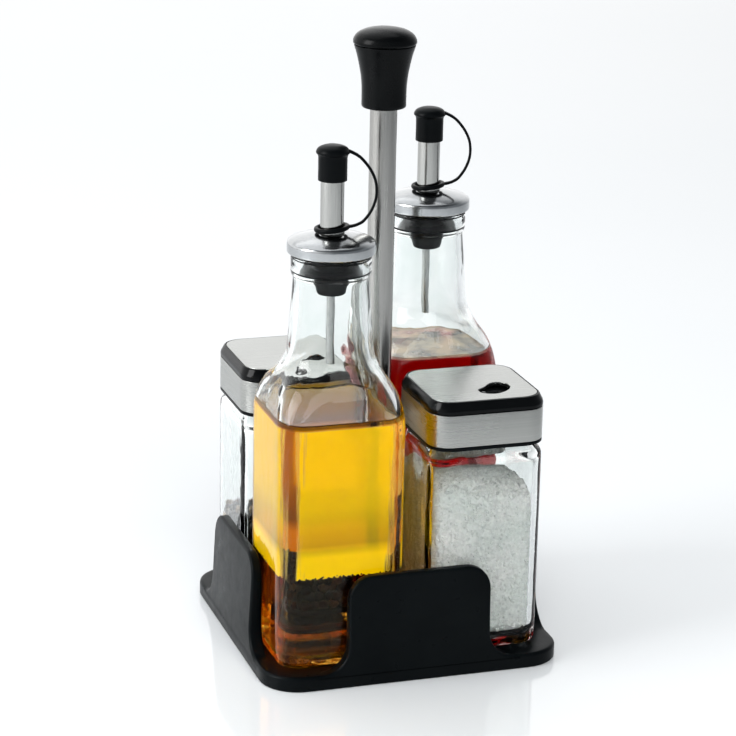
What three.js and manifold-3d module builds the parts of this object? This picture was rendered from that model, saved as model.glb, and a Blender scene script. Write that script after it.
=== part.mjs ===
// Cruet set: a moulded four-well caddy with a centre pole and knob, two square
// pouring bottles with capped spout stoppers, and two square shakers with
// rotary-dial lids.  Millimetres, +Z up, origin at the centre of the caddy's
// resting face.

import * as THREE from 'three';
import { mergeVertices } from 'three/addons/utils/BufferGeometryUtils.js';
import Module from 'manifold-3d';

const wasm = await Module();
wasm.setup();

// ---------------------------------------------------------------- dimensions
const GAP = 0.3;                 // clearance between touching pieces

// caddy
const TRAY_HALF = 63.2;          // half width of the base plan
const TRAY_CORNER = 16;          // plan corner radius
const TRAY_H = 6;                // height of the base, floor on top
const TRAY_SKIRT = 2.5;          // width of the rim the tray rests on
const TRAY_RECESS = 3.2;         // depth of the underside
const TAB_TOP = 46;              // top of the four mid-side walls
const TAB_HALF = 30;             // half width of a wall
const TAB_TOP_R = 10;            // its top corner radius
const TAB_FOOT_R = 11;           // sweep from wall to base
const TAB_INNER = 57.2;          // inner face, from the centre
const TAB_LEAN = 2.0;            // inward lean of the outer face
const BOSS_R = 8;                // pole socket
const BOSS_TOP = 14;
const SOCKET_Z = 9;

// pole and knob
const POLE_R = 5.5;
const POLE_WALL = 1.0;
const ROD_R = 2.5;
const KNOB_BOTTOM = 222.7;
const KNOB_TOP = 248.1;
const KNOB_APEX = 255.2;

// layout: vessel centres
const PITCH = 30.4;
const SEAT_Z = TRAY_H + GAP;     // underside of every vessel

// bottle
const BOTTLE_HALF = 26.2;
const BOTTLE_CORNER = 9;
const BOTTLE_WALL = 2.8;
const BOTTLE_SHOULDER = 107;
const BOTTLE_MOUTH = 172.0;
const BOTTLE_BORE = 12.5;
const OIL_LEVEL = 108;
const VINEGAR_LEVEL = 113;

// stopper
const DISC_R = 17.6;
const DISC_Z = 172.6;
const SPOUT_R = 4.675;
const SPOUT_TOP = 211.2;
const VENT_R = 1.55;
const VENT_BOTTOM = 126.5;
const CAP_R = 5.75;
const CAP_BOTTOM = 201.2;
const RING_TILT = 6;             // degrees, up towards the strap
const STRAP_AZ = -18.1;          // direction of the strap loop, degrees from +X

// shaker
const JAR_HALF = 24.3;
const JAR_CORNER = 8;
const JAR_WALL = 2.9;
const JAR_SHOULDER = 88;
const JAR_MOUTH = 103.6;
const LID_HALF = 24.5;
const LID_CORNER = 9;
const LID_BOTTOM = 93.2;
const LID_DECK = 108.2;
const LID_TOP = 113.5;
const DIAL_R = 17;
const SALT_LEVEL = 79;
const PEPPER_LEVEL = 45;

// ------------------------------------------------------------------- helpers

// Weld a geometry and drop the zero-area triangles left on an axis.
function weld(geometry) {
  geometry.deleteAttribute('normal');
  geometry.deleteAttribute('uv');
  const g = mergeVertices(geometry, 1e-4);
  const keep = [];
  const ix = g.index.array;
  for (let i = 0; i < ix.length; i += 3) {
    const [a, b, c] = [ix[i], ix[i + 1], ix[i + 2]];
    if (a !== b && b !== c && c !== a) keep.push(a, b, c);
  }
  g.setIndex(keep);
  g.computeVertexNormals();
  return g;
}

function toSolid(geometry) {
  const g = weld(geometry.clone());
  return new wasm.Manifold(new wasm.Mesh({
    numProp: 3,
    vertProperties: new Float32Array(g.attributes.position.array),
    triVerts: new Uint32Array(g.index.array),
  }));
}

function fromSolid(solid) {
  const m = solid.getMesh();
  const g = new THREE.BufferGeometry();
  g.setAttribute('position', new THREE.BufferAttribute(new Float32Array(m.vertProperties), 3));
  g.setIndex(new THREE.BufferAttribute(new Uint32Array(m.triVerts), 1));
  g.computeVertexNormals();
  return g;
}

// Body of revolution about Z from [r, z] points, outer side listed upwards.
function turned(profile, segments) {
  const g = new THREE.LatheGeometry(profile.map(([r, z]) => new THREE.Vector2(r, z)), segments);
  g.rotateX(Math.PI / 2);
  return g;
}

// Distance from the centre to a rounded square (half width s, corner radius k)
// in the direction phi.
function squareReach(phi, s, k) {
  const c = Math.abs(Math.cos(phi)), n = Math.abs(Math.sin(phi));
  const [a, b] = c > n ? [c, n] : [n, c];
  const core = s - k;
  if (b * s <= core * a + 1e-9) return s / a;
  const dot = core * (a + b);
  return dot + Math.sqrt(Math.max(0, dot * dot - 2 * core * core + k * k));
}

// A lathe whose rings are rounded squares: [s, z, k] with s the half width and
// k the corner radius (k = s, or left out, gives a circle).  Segments crowd
// towards the corners.
function squareTurned(rings, segments) {
  const n = rings.length;
  const g = new THREE.LatheGeometry(rings.map(([s, z]) => new THREE.Vector2(s, z)), segments);
  const p = g.attributes.position;
  for (let i = 0; i < p.count; i++) {
    const [s, z, k] = rings[i % n];
    let phi = (Math.floor(i / n) % segments) * 2 * Math.PI / segments;
    phi += 0.15 * Math.sin(4 * phi);
    const r = s === 0 ? 0 : squareReach(phi, s, k === undefined ? s : k);
    p.setXYZ(i, r * Math.sin(phi), z, r * Math.cos(phi));
  }
  g.rotateX(Math.PI / 2);
  return g;
}

function roundedSquare(s, k, steps = 5) {
  const pts = [];
  for (const [sx, sy, a0] of [[1, -1, -90], [1, 1, 0], [-1, 1, 90], [-1, -1, 180]]) {
    for (let i = 0; i <= steps; i++) {
      const a = (a0 + 90 * i / steps) * Math.PI / 180;
      pts.push(new THREE.Vector2(sx * (s - k) + k * Math.cos(a), sy * (s - k) + k * Math.sin(a)));
    }
  }
  return pts;
}

function circlePoints(x, y, r, n) {
  return Array.from({ length: n }, (_, i) => new THREE.Vector2(
    x + r * Math.cos(2 * Math.PI * i / n), y + r * Math.sin(2 * Math.PI * i / n)));
}

function plate(points, z0, z1, holes = []) {
  const shape = new THREE.Shape(points);
  for (const h of holes) shape.holes.push(new THREE.Path(h));
  const g = new THREE.ExtrudeGeometry(shape, { depth: z1 - z0, bevelEnabled: false, curveSegments: 1 });
  g.translate(0, 0, z0);
  return g;
}

function drill(x, y, r, z0, z1, n = 12) {
  const g = new THREE.CylinderGeometry(r, r, z1 - z0, n);
  g.rotateX(Math.PI / 2);
  g.translate(x, y, (z0 + z1) / 2);
  return toSolid(g);
}

const set = new THREE.Group();

function add(name, geometry, material, x = 0, y = 0) {
  const mesh = new THREE.Mesh(weld(geometry.clone()), new THREE.MeshStandardMaterial(material));
  mesh.name = name;
  mesh.position.set(x, y, 0);
  set.add(mesh);
}

const BLACK = { color: 0x16191b, roughness: 0.38, metalness: 0.0 };
const SOFT_BLACK = { color: 0x131415, roughness: 0.55, metalness: 0.0 };
const BRUSHED = { color: 0xc6c4bd, roughness: 0.3, metalness: 1.0 };
const POLISHED = { color: 0xcfd2d2, roughness: 0.12, metalness: 1.0 };
const STEEL = { color: 0x9a9c9d, roughness: 0.4, metalness: 1.0 };
const BRASS = { color: 0xb08d4a, roughness: 0.4, metalness: 1.0 };
const GLASS = { color: 0xeef4f1, roughness: 0.03, metalness: 0.0, transparent: true, opacity: 0.3 };

// --------------------------------------------------------------------- caddy

{
  let tray = toSolid(squareTurned([
    [0, 0], [TRAY_HALF - 0.6, 0, TRAY_CORNER - 0.6], [TRAY_HALF, 0.6, TRAY_CORNER],
    [TRAY_HALF, TRAY_H - 1.4, TRAY_CORNER], [TRAY_HALF - 0.5, TRAY_H - 0.5, TRAY_CORNER - 0.5],
    [TRAY_HALF - 1.5, TRAY_H, TRAY_CORNER - 1.5], [0, TRAY_H],
  ], 32));
  const inner = TRAY_HALF - TRAY_SKIRT;
  tray = tray.subtract(toSolid(plate(roundedSquare(inner, TRAY_CORNER - TRAY_SKIRT), -1, TRAY_RECESS)));

  // stiffening ribs and the seat of the nut, on the underside
  const rib = new THREE.BoxGeometry(2 * inner + 1, 1.8, TRAY_RECESS - 0.6);
  rib.translate(0, 0, (TRAY_RECESS + 0.8) / 2 + 0.1);
  tray = tray.add(toSolid(rib));
  rib.rotateZ(Math.PI / 2);
  tray = tray.add(toSolid(rib));
  tray = tray.add(drill(0, 0, 10.5, 0.5, 4, 16));

  // four mid-side walls, each swept out into the base at its foot
  const foot = TAB_HALF + TAB_FOOT_R;
  const half = [];
  half.push([foot, 1.0]);
  for (let i = 0; i <= 4; i++) {
    const t = i / 4 * Math.PI / 2;
    half.push([foot - TAB_FOOT_R * Math.sin(t), TRAY_H - 0.2 + (TAB_FOOT_R + 0.5) * (1 - Math.cos(t))]);
  }
  for (let i = 0; i <= 4; i++) {
    const t = i / 4 * Math.PI / 2;
    half.push([TAB_HALF - TAB_TOP_R + TAB_TOP_R * Math.cos(t), TAB_TOP - TAB_TOP_R + TAB_TOP_R * Math.sin(t)]);
  }
  const outline = [...half, ...half.map(([u, z]) => [-u, z]).reverse()].map(([u, z]) => new THREE.Vector2(u, z));
  for (let side = 0; side < 4; side++) {
    const g = new THREE.ExtrudeGeometry(new THREE.Shape(outline), { depth: 1, bevelEnabled: false });
    const p = g.attributes.position;
    for (let i = 0; i < p.count; i++) {
      const u = p.getX(i), z = p.getY(i), d = p.getZ(i);
      const outer = TRAY_HALF - 0.1 - TAB_LEAN * Math.max(0, z - TRAY_H) / (TAB_TOP - TRAY_H);
      // depth runs outwards along -Y, so the wall's width stays along +X
      p.setXYZ(i, u, -(TAB_INNER + d * (outer - TAB_INNER)), z);
    }
    g.rotateZ(side * Math.PI / 2);
    tray = tray.add(toSolid(g));
  }

  // pole socket on the floor, nut pocket below it, rod hole through both
  tray = tray.add(toSolid(turned([[0, 5], [BOSS_R, 5], [BOSS_R, BOSS_TOP - 1], [BOSS_R - 1, BOSS_TOP], [0, BOSS_TOP]], 20)));
  tray = tray.subtract(drill(0, 0, POLE_R + GAP, SOCKET_Z, BOSS_TOP + 2, 18));
  tray = tray.subtract(drill(0, 0, 7.5, -1, 4.8, 16));
  tray = tray.subtract(drill(0, 0, ROD_R + GAP, -1, BOSS_TOP, 10));
  add('caddy_tray', fromSolid(tray), BLACK);
}

add('pole_tube', turned([
  [POLE_R - POLE_WALL, SOCKET_Z + GAP], [POLE_R, SOCKET_Z + GAP], [POLE_R, 232.3],
  [POLE_R - POLE_WALL, 232.3], [POLE_R - POLE_WALL, SOCKET_Z + GAP],
], 18), BRUSHED);

add('pole_tie_rod', turned([[0, 0.7], [ROD_R, 0.7], [ROD_R, 243.5], [0, 243.5]], 10), STEEL);

add('base_washer', turned([[2.8, 3.8], [6.4, 3.8], [6.4, 4.5], [2.8, 4.5], [2.8, 3.8]], 12), STEEL);
add('base_nut', plate(circlePoints(0, 0, 4.62, 6), 1.1, 3.5, [circlePoints(0, 0, 2.8, 12)]), STEEL);

add('knob_body', turned([
  [5.8, KNOB_BOTTOM], [8.4, KNOB_BOTTOM], [9.0, 223.7], [9.0, 229.0],
  [9.4, 235.0], [10.7, 241.9], [12.4, 247.4], [12.4, KNOB_TOP],
  [8.3, KNOB_TOP], [8.3, 244.6], [3.9, 244.6], [3.9, 232.6], [5.8, 232.6], [5.8, KNOB_BOTTOM],
], 20), BLACK);

add('knob_insert', turned([[2.8, 233], [3.6, 233], [3.6, 244.3], [2.8, 244.3], [2.8, 233]], 12), BRASS);

add('knob_cap', turned([
  [0, 244.9], [7.9, 244.9], [7.9, KNOB_TOP + GAP], [12.5, KNOB_TOP + GAP], [12.8, 248.9], [12.75, 249.9],
  [11.9, 251.8], [9.2, 253.7], [4.6, 254.9], [0, KNOB_APEX],
], 20), BLACK);

// ------------------------------------------------------------------- bottles

function bottle(prefix, x, y, level, liquid) {
  const b = BOTTLE_HALF, k = BOTTLE_CORNER, w = BOTTLE_WALL;
  add(`${prefix}_bottle`, squareTurned([
    [0, SEAT_Z + 0.6], [17, SEAT_Z + 0.6, 6], [18, SEAT_Z, 6], [24.8, SEAT_Z, 8], [b, SEAT_Z + 2.0, k],
    [b, BOTTLE_SHOULDER, k], [25.7, 112, 11], [23.6, 119.4, 14.5], [21.0, 123.1, 16], [19.0, 126.9, 17],
    [17.4, 132.5], [16.2, 147], [15.2, 162.6], [16.1, 164.0], [16.1, BOTTLE_MOUTH],
    [BOTTLE_BORE, BOTTLE_MOUTH], [BOTTLE_BORE, 158], [14.2, 133.5], [15.6, 128.2, 15], [21.2, 118.2, 12],
    [22.8, 112.5, 9], [b - w, 106.5, k - w + 0.3], [b - w, 14.5, k - w], [b - w - 1.6, 12.0, 5], [0, 11.2],
  ], 24), GLASS, x, y);

  // liquid: stands 0.3 mm off the glass and follows the shoulder above the
  // straight part
  const q = b - w - GAP, kq = k - w - GAP;
  const top = level > 110 ? [[q, 105.8, kq], [22.2, level, 9.2], [0, level]] : [[q, 105.8, kq], [22.8, level, 7.2], [0, level]];
  add(`${prefix}_fill`, squareTurned([[0, 11.7], [q - 1.7, 12.5, 4.6], [q, 14.9, kq], ...top], 24), liquid, x, y);
}

bottle('oil', -PITCH, -PITCH, OIL_LEVEL, { color: 0xe0a91a, roughness: 0.05, metalness: 0, transparent: true, opacity: 0.85 });
bottle('vinegar', PITCH, PITCH, VINEGAR_LEVEL, { color: 0x6b0d0b, roughness: 0.05, metalness: 0, transparent: true, opacity: 0.9 });

// ------------------------------------------------------------------ stoppers

function stopper(prefix, x, y) {
  // polished domed cover with a short skirt
  add(`${prefix}_stopper_disc`, turned([
    [DISC_R - 0.6, DISC_Z], [DISC_R, DISC_Z], [DISC_R, 176.6], [16.6, 177.5], [11.5, 179.1],
    [5.0, 180.2], [5.0, 179.5], [11.3, 178.4], [DISC_R - 0.6, 176.3], [DISC_R - 0.6, DISC_Z],
  ], 20), POLISHED, x, y);

  // soft plug: flange under the cover, two sealing fins, nose with pour ports
  let plug = toSolid(turned([
    [1.85, 155.4], [5.8, 155.4], [6.4, 163.4], [12.1, 164.3], [12.1, 165.0], [7.2, 165.8],
    [7.6, 168.7], [12.1, 169.6], [12.1, 170.4], [8.0, 171.2], [8.0, 172.35], [16.6, 172.35], [16.6, 175.8],
    [5.0, 175.8], [5.0, 168.0], [1.85, 168.0], [1.85, 155.4],
  ], 14));
  for (const a of [90, 210, 330]) {
    const t = a * Math.PI / 180;
    plug = plug.subtract(drill(3.6 * Math.cos(t), 3.6 * Math.sin(t), 1.1, 154, 169, 6));
  }
  add(`${prefix}_stopper_plug`, fromSolid(plug), SOFT_BLACK, x, y);

  add(`${prefix}_pour_tube`, turned([
    [SPOUT_R - 0.5, 168.3], [SPOUT_R, 168.3], [SPOUT_R, SPOUT_TOP], [SPOUT_R - 0.5, SPOUT_TOP], [SPOUT_R - 0.5, 168.3],
  ], 14), BRUSHED, x, y);

  add(`${prefix}_vent_tube`, turned([
    [0.9, VENT_BOTTOM], [VENT_R, VENT_BOTTOM], [VENT_R, 170.5], [0.9, 170.5], [0.9, VENT_BOTTOM],
  ], 8), STEEL, x, y);

  // tether: ring under the spout, strap looping out to the side, cap on top
  const az = STRAP_AZ * Math.PI / 180;
  const ring = new THREE.TorusGeometry(6.2, 0.9, 6, 16);
  ring.rotateY(-RING_TILT * Math.PI / 180);
  ring.rotateZ(az);
  ring.translate(0, 0, 182.0);
  add(`${prefix}_tether_ring`, ring, SOFT_BLACK, x, y);

  const path = new THREE.CatmullRomCurve3([
    [7.5, 182.8], [10.3, 183.9], [12.7, 185.5], [15.4, 189.2], [17.0, 193.4], [17.3, 197.5],
    [16.6, 201.6], [14.6, 205.8], [11.6, 209.6], [9.2, 211.5], [7.1, 212.6],
  ].map(([t, z]) => new THREE.Vector3(t * Math.cos(az), t * Math.sin(az), z)));
  const s = 0.6, w = 0.9;
  const section = new THREE.Shape([[-s, -w], [s, -w], [s, w], [-s, w]].map(([a, b]) => new THREE.Vector2(a, b)));
  add(`${prefix}_tether_strap`, new THREE.ExtrudeGeometry(section, { steps: 14, extrudePath: path }), SOFT_BLACK, x, y);

  add(`${prefix}_spout_cap`, turned([
    [0, SPOUT_TOP + 0.4], [5.0, SPOUT_TOP + 0.4], [5.0, CAP_BOTTOM], [CAP_R, CAP_BOTTOM], [CAP_R, 210.2],
    [6.6, 212.5], [6.3, 214.0], [4.6, 215.1], [0, 215.5],
  ], 16), SOFT_BLACK, x, y);
}

stopper('oil', -PITCH, -PITCH);
stopper('vinegar', PITCH, PITCH);

// ------------------------------------------------------------------- shakers

// Pour opening in the lid plate: a round lobe with a narrower end for the nub.
const OPENING = [
  [-0.7, -9.3], [0.6, -7.9], [2.1, -6.8], [3.6, -5.4], [5.1, -3.7], [6.6, -2.3], [8.3, -1.5], [9.8, -1.3],
  [11.2, -1.6], [12.4, -2.4], [13.3, -3.7], [13.8, -5.4], [13.7, -7.4], [12.9, -9.3], [12.0, -10.8],
  [10.3, -12.6], [8.3, -14.1], [6.6, -15.0], [4.8, -15.5], [3.0, -15.3], [1.4, -14.7], [0.1, -13.8], [-0.7, -12.6],
].map(([a, b]) => new THREE.Vector2(a, b));
const SIEVE = [[8.2, -7.8], [5.4, -8.8], [9.6, -10.4], [6.9, -5.1], [11.0, -6.2]];

function shaker(prefix, x, y, level, slope, mound, content) {
  const j = JAR_HALF, k = JAR_CORNER, w = JAR_WALL;
  add(`${prefix}_jar`, squareTurned([
    [0, SEAT_Z + 0.6], [16, SEAT_Z + 0.6, 6], [17, SEAT_Z, 6], [23.0, SEAT_Z, 7.4],
    [j, SEAT_Z + 2.0, k], [j, JAR_SHOULDER, k], [23.4, 90.8, 10], [20.0, 92.4],
    [20.0, JAR_MOUTH], [17.3, JAR_MOUTH], [17.3, 91.0], [19.4, 88.6, 12], [j - w, 85.5, k - w + 0.6],
    [j - w, 13.6, k - w], [j - w - 1.4, 11.6, 4.4], [0, 11.0],
  ], 24), GLASS, x, y);

  const q = j - w - GAP, kq = k - w - GAP;
  const fill = squareTurned([
    [0, 11.5], [q - 1.5, 12.1, 4], [q, 14.0, kq], [q, level - mound, kq], [q * 0.6, level - mound * 0.25, 9], [0, level],
  ], 24);
  const p = fill.attributes.position;
  for (let i = 0; i < p.count; i++) {
    if (p.getZ(i) > 20) p.setZ(i, p.getZ(i) - slope * p.getX(i));
  }
  add(`${prefix}_fill`, fill, content, x, y);

  add(`${prefix}_lid_gasket`, turned([
    [17.5, JAR_MOUTH + GAP], [20.2, JAR_MOUTH + GAP], [20.2, 105.2], [17.5, 105.2], [17.5, JAR_MOUTH + GAP],
  ], 18), { color: 0xd9d9d4, roughness: 0.6, metalness: 0 }, x, y);

  // lid body: square outside, round inside over the jar's neck, sieve deck
  let body = toSolid(squareTurned([
    [0, LID_BOTTOM], [LID_HALF, LID_BOTTOM, LID_CORNER],
    [LID_HALF, 94.5, LID_CORNER], [23.7, 94.5, 8.2], [23.7, LID_DECK, 8.2], [0, LID_DECK],
  ], 24));
  body = body.subtract(drill(0, 0, 20.6, LID_BOTTOM - 1, 105.5, 20));
  body = body.add(drill(0, 0, 2.4, 107, 111.3, 10));
  for (const [a, b] of SIEVE) body = body.subtract(drill(a, b, 1.15, 104, 110, 6));
  add(`${prefix}_lid_body`, fromSolid(body), BLACK, x, y);

  add(`${prefix}_lid_band`, squareTurned([
    [24.0, 94.8, 8.5], [LID_HALF, 94.8, LID_CORNER], [LID_HALF, LID_DECK, LID_CORNER], [24.0, LID_DECK, 8.5], [24.0, 94.8, 8.5],
  ], 24), BRUSHED, x, y);

  add(`${prefix}_lid_bezel`, squareTurned([
    [20.0, 108.5, 8], [LID_HALF, 108.5, LID_CORNER], [LID_HALF, 110.4, LID_CORNER],
    [23.1, LID_TOP, 8.6], [22.65, LID_TOP, 8.5], [22.65, 111.6, 8.5], [20.0, 111.6, 8], [20.0, 108.5, 8],
  ], 24), BLACK, x, y);

  add(`${prefix}_lid_plate`, plate(roundedSquare(22.3, 8.2, 4), 111.9, LID_TOP - 0.1, [OPENING]), BRUSHED, x, y);

  // rotary dial under the plate, turned by the nub in the opening
  const dial = toSolid(plate(circlePoints(0, 0, DIAL_R, 20), 108.6, 110.3, [
    circlePoints(0, 0, 2.8, 10), circlePoints(8.2, -7.8, 5.0, 12),
  ]));
  const nub = new THREE.BoxGeometry(1.9, 3.2, 3.6);
  nub.rotateZ(4.5 * Math.PI / 180);
  nub.translate(0.9, -11.56, 111.3);
  add(`${prefix}_dial`, fromSolid(dial.add(toSolid(nub))), SOFT_BLACK, x, y);
}

shaker('salt', PITCH, -PITCH, SALT_LEVEL, 0.15, 8, { color: 0xf1f1f0, roughness: 0.8, metalness: 0 });
shaker('pepper', -PITCH, PITCH, PEPPER_LEVEL, 0, 2, { color: 0x3a342e, roughness: 0.85, metalness: 0 });

export default set;
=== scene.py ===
# Looks of the cruet set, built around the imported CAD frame.
import math
import random

import bpy
import numpy as np
from mathutils import Matrix, Vector, noise


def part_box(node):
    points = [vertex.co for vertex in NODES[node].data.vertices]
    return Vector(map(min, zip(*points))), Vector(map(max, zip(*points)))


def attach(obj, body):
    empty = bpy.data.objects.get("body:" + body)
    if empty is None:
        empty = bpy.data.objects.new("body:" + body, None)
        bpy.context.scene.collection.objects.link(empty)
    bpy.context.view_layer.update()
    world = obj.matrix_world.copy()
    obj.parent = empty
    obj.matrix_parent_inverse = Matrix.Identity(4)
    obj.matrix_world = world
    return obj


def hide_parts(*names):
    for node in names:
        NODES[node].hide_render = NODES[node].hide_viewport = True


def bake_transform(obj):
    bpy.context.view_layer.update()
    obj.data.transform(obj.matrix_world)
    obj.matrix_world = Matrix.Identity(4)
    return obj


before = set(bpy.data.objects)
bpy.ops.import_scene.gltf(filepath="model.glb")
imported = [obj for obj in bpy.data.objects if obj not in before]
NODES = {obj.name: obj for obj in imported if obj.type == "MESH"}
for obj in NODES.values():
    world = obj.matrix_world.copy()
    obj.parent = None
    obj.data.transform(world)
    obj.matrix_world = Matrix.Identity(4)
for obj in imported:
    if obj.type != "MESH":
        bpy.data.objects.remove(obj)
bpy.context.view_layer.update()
scene = bpy.context.scene
MM = 0.001
rng = random.Random(7)


def centre(node):
    lo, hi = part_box(node)
    return ((lo.x + hi.x) / 2 / MM, (lo.y + hi.y) / 2 / MM)


# ------------------------------------------------------------------- camera
def make_camera():
    az, el, dist, roll = math.radians(-18.1), math.radians(17.2), 1.100, math.radians(1.2)
    lx, lz = -0.0041, 0.1129
    back = Vector((math.sin(az) * math.cos(el), -math.cos(az) * math.cos(el), math.sin(el)))
    target = Vector((lx * math.cos(az), lx * math.sin(az), lz))
    fwd = -back
    right = fwd.cross(Vector((0, 0, 1))).normalized()
    up = right.cross(fwd)
    r2 = right * math.cos(roll) + up * math.sin(roll)
    u2 = -right * math.sin(roll) + up * math.cos(roll)
    cam = bpy.data.cameras.new("camera")
    cam.sensor_width = 36
    cam.lens = 2659.0 / 736 * 36
    cam.clip_end = 50
    ob = bpy.data.objects.new("camera", cam)
    scene.collection.objects.link(ob)
    m = Matrix((r2, u2, back)).transposed().to_4x4()
    m.translation = target + back * dist
    ob.matrix_world = m
    scene.camera = ob


make_camera()


# ------------------------------------------------------------------ meshing
def mesh_object(name, verts, faces, sharp=38.0):
    """A smooth-shaded mesh from millimetre vertices, its sharp edges marked by angle."""
    me = bpy.data.meshes.new(name)
    me.from_pydata((np.asarray(verts, float) * MM).tolist(), [], [tuple(int(i) for i in f) for f in faces])
    me.validate()
    me.shade_smooth()
    me.set_sharp_from_angle(angle=math.radians(sharp))
    me.update()
    ob = bpy.data.objects.new(name, me)
    scene.collection.objects.link(ob)
    return ob


def skin_data(rings, closed=False):
    verts, faces, starts = [], [], []
    for ring in rings:
        starts.append(len(verts))
        verts.extend([tuple(p) for p in ring])
    pairs = list(zip(range(len(rings) - 1), range(1, len(rings))))
    if closed:
        pairs.append((len(rings) - 1, 0))
    for a, b in pairs:
        na, nb, sa, sb = len(rings[a]), len(rings[b]), starts[a], starts[b]
        n = max(na, nb)
        for j in range(n):
            k = (j + 1) % n
            if na == 1:
                faces.append((sa, sb + k, sb + j))
            elif nb == 1:
                faces.append((sa + j, sa + k, sb))
            else:
                faces.append((sa + j, sa + k, sb + k, sb + j))
    return verts, faces


def join_data(parts):
    verts, faces = [], []
    for v, f in parts:
        o = len(verts)
        verts.extend([tuple(p) for p in v])
        faces.extend([tuple(i + o for i in face) for face in f])
    return verts, faces


def soften(points, n=6, closed=False):
    """Rounds the corners of a profile of (s, z, k, fillet) points."""
    m = len(points)
    pts = [np.array(p[:3], float) for p in points]
    out = []
    for i in range(m):
        f = points[i][3] if len(points[i]) > 3 else 0
        if f <= 0 or (not closed and i in (0, m - 1)):
            out.append(pts[i])
            continue
        a, b = pts[(i - 1) % m] - pts[i], pts[(i + 1) % m] - pts[i]
        la, lb = np.linalg.norm(a[:2]), np.linalg.norm(b[:2])
        A = pts[i] + a * (min(f, la * 0.49) / la)
        B = pts[i] + b * (min(f, lb * 0.49) / lb)
        for t in np.linspace(0, 1, n + 1):
            out.append((1 - t) ** 2 * A + 2 * t * (1 - t) * pts[i] + t * t * B)
    return out


def divide(points, step):
    """Adds points so that no stretch of a profile is longer than step."""
    out = [points[0]]
    for a, b in zip(points, points[1:]):
        n = max(1, int(math.ceil(np.linalg.norm((np.asarray(b) - np.asarray(a))[:2]) / step)))
        for i in range(1, n + 1):
            out.append(np.asarray(a) + (np.asarray(b) - np.asarray(a)) * i / n)
    return out


def spline(points, n=5):
    """Catmull-Rom through a profile's points."""
    p = [np.array(q, float) for q in points]
    p = [2 * p[0] - p[1]] + p + [2 * p[-1] - p[-2]]
    out = []
    for i in range(1, len(p) - 2):
        for t in np.linspace(0, 1, n, endpoint=False):
            out.append(0.5 * (2 * p[i] + (p[i + 1] - p[i - 1]) * t
                              + (2 * p[i - 1] - 5 * p[i] + 4 * p[i + 1] - p[i + 2]) * t * t
                              + (3 * p[i] - 3 * p[i + 1] + p[i + 2] - p[i - 1]) * t ** 3))
    out.append(p[-2])
    return out


def outline(s, k, n):
    """n points of a rounded square of half width s and corner radius k, or of a circle."""
    j = np.arange(n)
    phi = 2 * np.pi * j / n
    phi = phi + 0.15 * np.sin(4 * phi)
    k = min(k, s)
    c, q = np.abs(np.cos(phi)), np.abs(np.sin(phi))
    a, b = np.maximum(c, q), np.minimum(c, q)
    core = s - k
    dot = core * (a + b)
    r = np.where(b * s <= core * a + 1e-9, s / a, dot + np.sqrt(np.maximum(0, dot * dot - 2 * core * core + k * k)))
    return np.stack([r * np.cos(phi), r * np.sin(phi)], 1)


def rings_of(profile, cx, cy, n, wobble=None):
    rings = []
    for s, z, k in profile:
        if s < 1e-6:
            rings.append([(cx, cy, z)])
            continue
        xy = outline(s, k, n)
        if wobble:
            amp, size, seed = wobble
            for i, (x, y) in enumerate(xy):
                w = noise.noise(Vector((x / size + seed, y / size, z / size * 0.6)))
                w += 0.35 * noise.noise(Vector((x / size * 2.7, y / size * 2.7 + seed, z / size * 1.6)))
                xy[i] *= 1 + amp * w / max(1.0, math.hypot(x, y))
        rings.append([(cx + x, cy + y, z) for x, y in xy])
    return rings


def square_piece(name, profile, cx, cy, n=96, closed=False, sharp=38):
    return mesh_object(name, *skin_data(rings_of(profile, cx, cy, n), closed), sharp)


def turned(name, points, cx, cy, n=72, closed=True, sharp=38, rounding=5):
    """A body of revolution from (r, z, fillet) points."""
    prof = soften([(p[0], p[1], p[0]) + ((p[2],) if len(p) > 2 else ()) for p in points], rounding, closed)
    rings = []
    for s, z, _ in prof:
        if s < 1e-6:
            rings.append([(cx, cy, z)])
        else:
            t = 2 * np.pi * np.arange(n) / n
            rings.append([(cx + s * math.cos(a), cy + s * math.sin(a), z) for a in t])
    return mesh_object(name, *skin_data(rings, closed), sharp)


def cut(ob, cutters):
    """ob less the cutters, which are removed."""
    for c in cutters:
        m = ob.modifiers.new("cut", "BOOLEAN")
        m.operation, m.solver, m.object = "DIFFERENCE", "EXACT", c
    dg = bpy.context.evaluated_depsgraph_get()
    me = bpy.data.meshes.new_from_object(ob.evaluated_get(dg))
    ob.modifiers.clear()
    old = ob.data
    ob.data = me
    bpy.data.meshes.remove(old)
    me.name = ob.name
    me.shade_smooth()
    me.set_sharp_from_angle(angle=math.radians(35))
    for c in cutters:
        bpy.data.objects.remove(c)
    return ob


def sheet_cut(name, loops, z0, z1, bevel, resolution=2):
    """A flat plate from closed outlines (the first outside, the rest holes), edges rounded."""
    cu = bpy.data.curves.new(name, "CURVE")
    cu.dimensions = "2D"
    cu.fill_mode = "BOTH"
    for loop in loops:
        sp = cu.splines.new("POLY")
        sp.points.add(len(loop) - 1)
        for p, (x, y) in zip(sp.points, loop):
            p.co = (x * MM, y * MM, 0, 1)
        sp.use_cyclic_u = True
    cu.extrude = ((z1 - z0) / 2 - bevel) * MM
    cu.bevel_depth = bevel * MM
    cu.bevel_resolution = resolution
    cu.offset = -bevel * MM
    ob = bpy.data.objects.new(name + "_curve", cu)
    scene.collection.objects.link(ob)
    dg = bpy.context.evaluated_depsgraph_get()
    me = bpy.data.meshes.new_from_object(ob.evaluated_get(dg))
    bpy.data.objects.remove(ob)
    bpy.data.curves.remove(cu)
    me.transform(Matrix.Translation((0, 0, (z0 + z1) / 2 * MM)))
    me.name = name
    me.shade_smooth()
    me.set_sharp_from_angle(angle=math.radians(40))
    out = bpy.data.objects.new(name, me)
    scene.collection.objects.link(out)
    return out


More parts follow.
